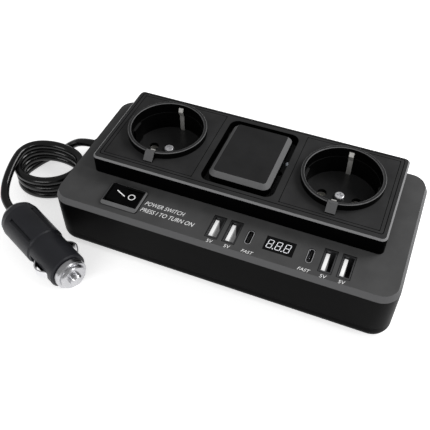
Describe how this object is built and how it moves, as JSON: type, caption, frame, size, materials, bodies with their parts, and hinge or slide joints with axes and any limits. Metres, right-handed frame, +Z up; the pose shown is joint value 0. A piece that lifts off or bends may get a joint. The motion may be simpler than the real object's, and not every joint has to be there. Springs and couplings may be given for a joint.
{
  "type": "power inverter",
  "caption": "Compact flat power inverter with earthed wall sockets, charging ports, a display, a rocker switch, a cooling fan and a coiled cord with a vehicle plug.",
  "frame": {"origin": "centre of the case's footprint, on the floor under its rubber feet", "axes": "+X along the case to the right seen from the front, +Y towards the back, +Z up; the switch and ports are along the front (-Y) edge and the cord leaves the left (-X) end"},
  "size_m": [0.2364, 0.124, 0.0512],
  "materials": {
    "case_black": "fine texture, satin",
    "case_grey": "fine texture, satin",
    "panel_grey": "fine texture, matt",
    "socket_black": "smooth",
    "foot_rubber": "matt",
    "zinc_steel": "zinc plated",
    "plated_brass": "nickel plated",
    "clear_plastic": "clear dome",
    "fan_plastic": "smooth",
    "copper_winding": "varnished winding",
    "board_green": "solder mask",
    "plated_steel": "bright plating",
    "port_white": "smooth",
    "port_black": "smooth",
    "display_gloss": "gloss window",
    "switch_gloss": "semi gloss",
    "ferrite": "ceramic",
    "capacitor_sleeve": "sleeved can",
    "bare_aluminium": "extruded",
    "fuse_plastic": "translucent blade fuse",
    "fuse_glass": "glass tube with metal ends",
    "gland_rubber": "matt",
    "cord_pvc": "semi gloss sheath",
    "plug_plastic": "satin",
    "nickel": "nickel plated",
    "spring_steel": "bright wire",
    "lead_red": "insulated wire"
  },
  "bodies": {
    "inverter": {"ac_leads": "lead_red", "board_fuse": "fuse_plastic", "board_screws": "zinc_steel", "bus_capacitor": "capacitor_sleeve", "cable_gland": "gland_rubber", "case_screws": "zinc_steel", "choke": "copper_winding", "cord_coil": "cord_pvc", "cord_lead": "cord_pvc", "cord_tail": "cord_pvc", "dc_leads": "lead_red", "display_lens": "display_gloss", "display_module": "port_black", "fan_cover": "panel_grey", "fan_frame": "fan_plastic", "fan_screws": "zinc_steel", "fan_stator": "copper_winding", "heat_sinks": "bare_aluminium", "input_capacitors": "capacitor_sleeve", "left_earth_strap": "plated_brass", "left_pin_contacts": "plated_brass", "left_socket_plate": "panel_grey", "left_socket_well": "socket_black", "lower_case": "case_black", "main_board": "board_green", "mosfets": "port_black", "panel_frame": "panel_grey", "plug_collar": "plug_plastic", "plug_fuse": "fuse_glass", "plug_lower_half": "plug_plastic", "plug_screw": "zinc_steel", "plug_spring": "spring_steel", "plug_upper_half": "plug_plastic", "right_earth_strap": "plated_brass", "right_pin_contacts": "plated_brass", "right_socket_plate": "panel_grey", "right_socket_well": "socket_black", "rubber_feet": "foot_rubber", "socket_block": "case_black", "socket_screws": "zinc_steel", "status_led": "clear_plastic", "switch_housing": "switch_gloss", "switch_terminals": "plated_brass", "top_case": "case_grey", "transformer_core": "ferrite", "transformer_winding": "copper_winding", "usb_a_shells": "plated_steel", "usb_a_tongues": "port_white", "usb_board": "board_green", "usb_c_shells": "plated_steel", "usb_c_tongues": "port_black"},
    "rocker": {"power_rocker": "switch_gloss"},
    "fan": {"fan_rotor": "fan_plastic"},
    "cap": {"plug_cap": "nickel"},
    "tip": {"plug_tip": "nickel"},
    "left_contact": {"plug_left_contact": "plated_steel"},
    "right_contact": {"plug_right_contact": "plated_steel"}
  },
  "joints": [
    {"name": "rocker_tilt", "type": "hinge", "parent": "inverter", "child": "rocker", "pos_m": [-0.0548, -0.0319, 0.035], "axis": [0, 1, 0], "range_deg": [-20, 0]},
    {"name": "fan_spin", "type": "hinge", "parent": "inverter", "child": "fan", "pos_m": [0, 0.0125, 0.033], "axis": [0, 0, 1], "continuous": true},
    {"name": "cap_draw", "type": "slide", "parent": "inverter", "child": "cap", "axis": [0.8988, -0.4384, 0], "range_m": [0, 0.008]},
    {"name": "tip_press", "type": "slide", "parent": "cap", "child": "tip", "axis": [0.8988, -0.4384, 0], "range_m": [-0.003, 0], "stiffness_N_per_m": 600, "springref_m": 0.002, "deforming": ["plug_spring"]},
    {"name": "left_contact_press", "type": "hinge", "parent": "inverter", "child": "left_contact", "pos_m": [-0.0851, -0.05546, 0.0113], "axis": [0, 0, 1], "range_deg": [-12, 0], "stiffness_Nm_per_rad": 0.12, "springref_deg": 5.73},
    {"name": "right_contact_press", "type": "hinge", "parent": "inverter", "child": "right_contact", "pos_m": [-0.09124, -0.06804, 0.0113], "axis": [0, 0, 1], "range_deg": [0, 12], "stiffness_Nm_per_rad": 0.12, "springref_deg": -5.73}
  ]
}
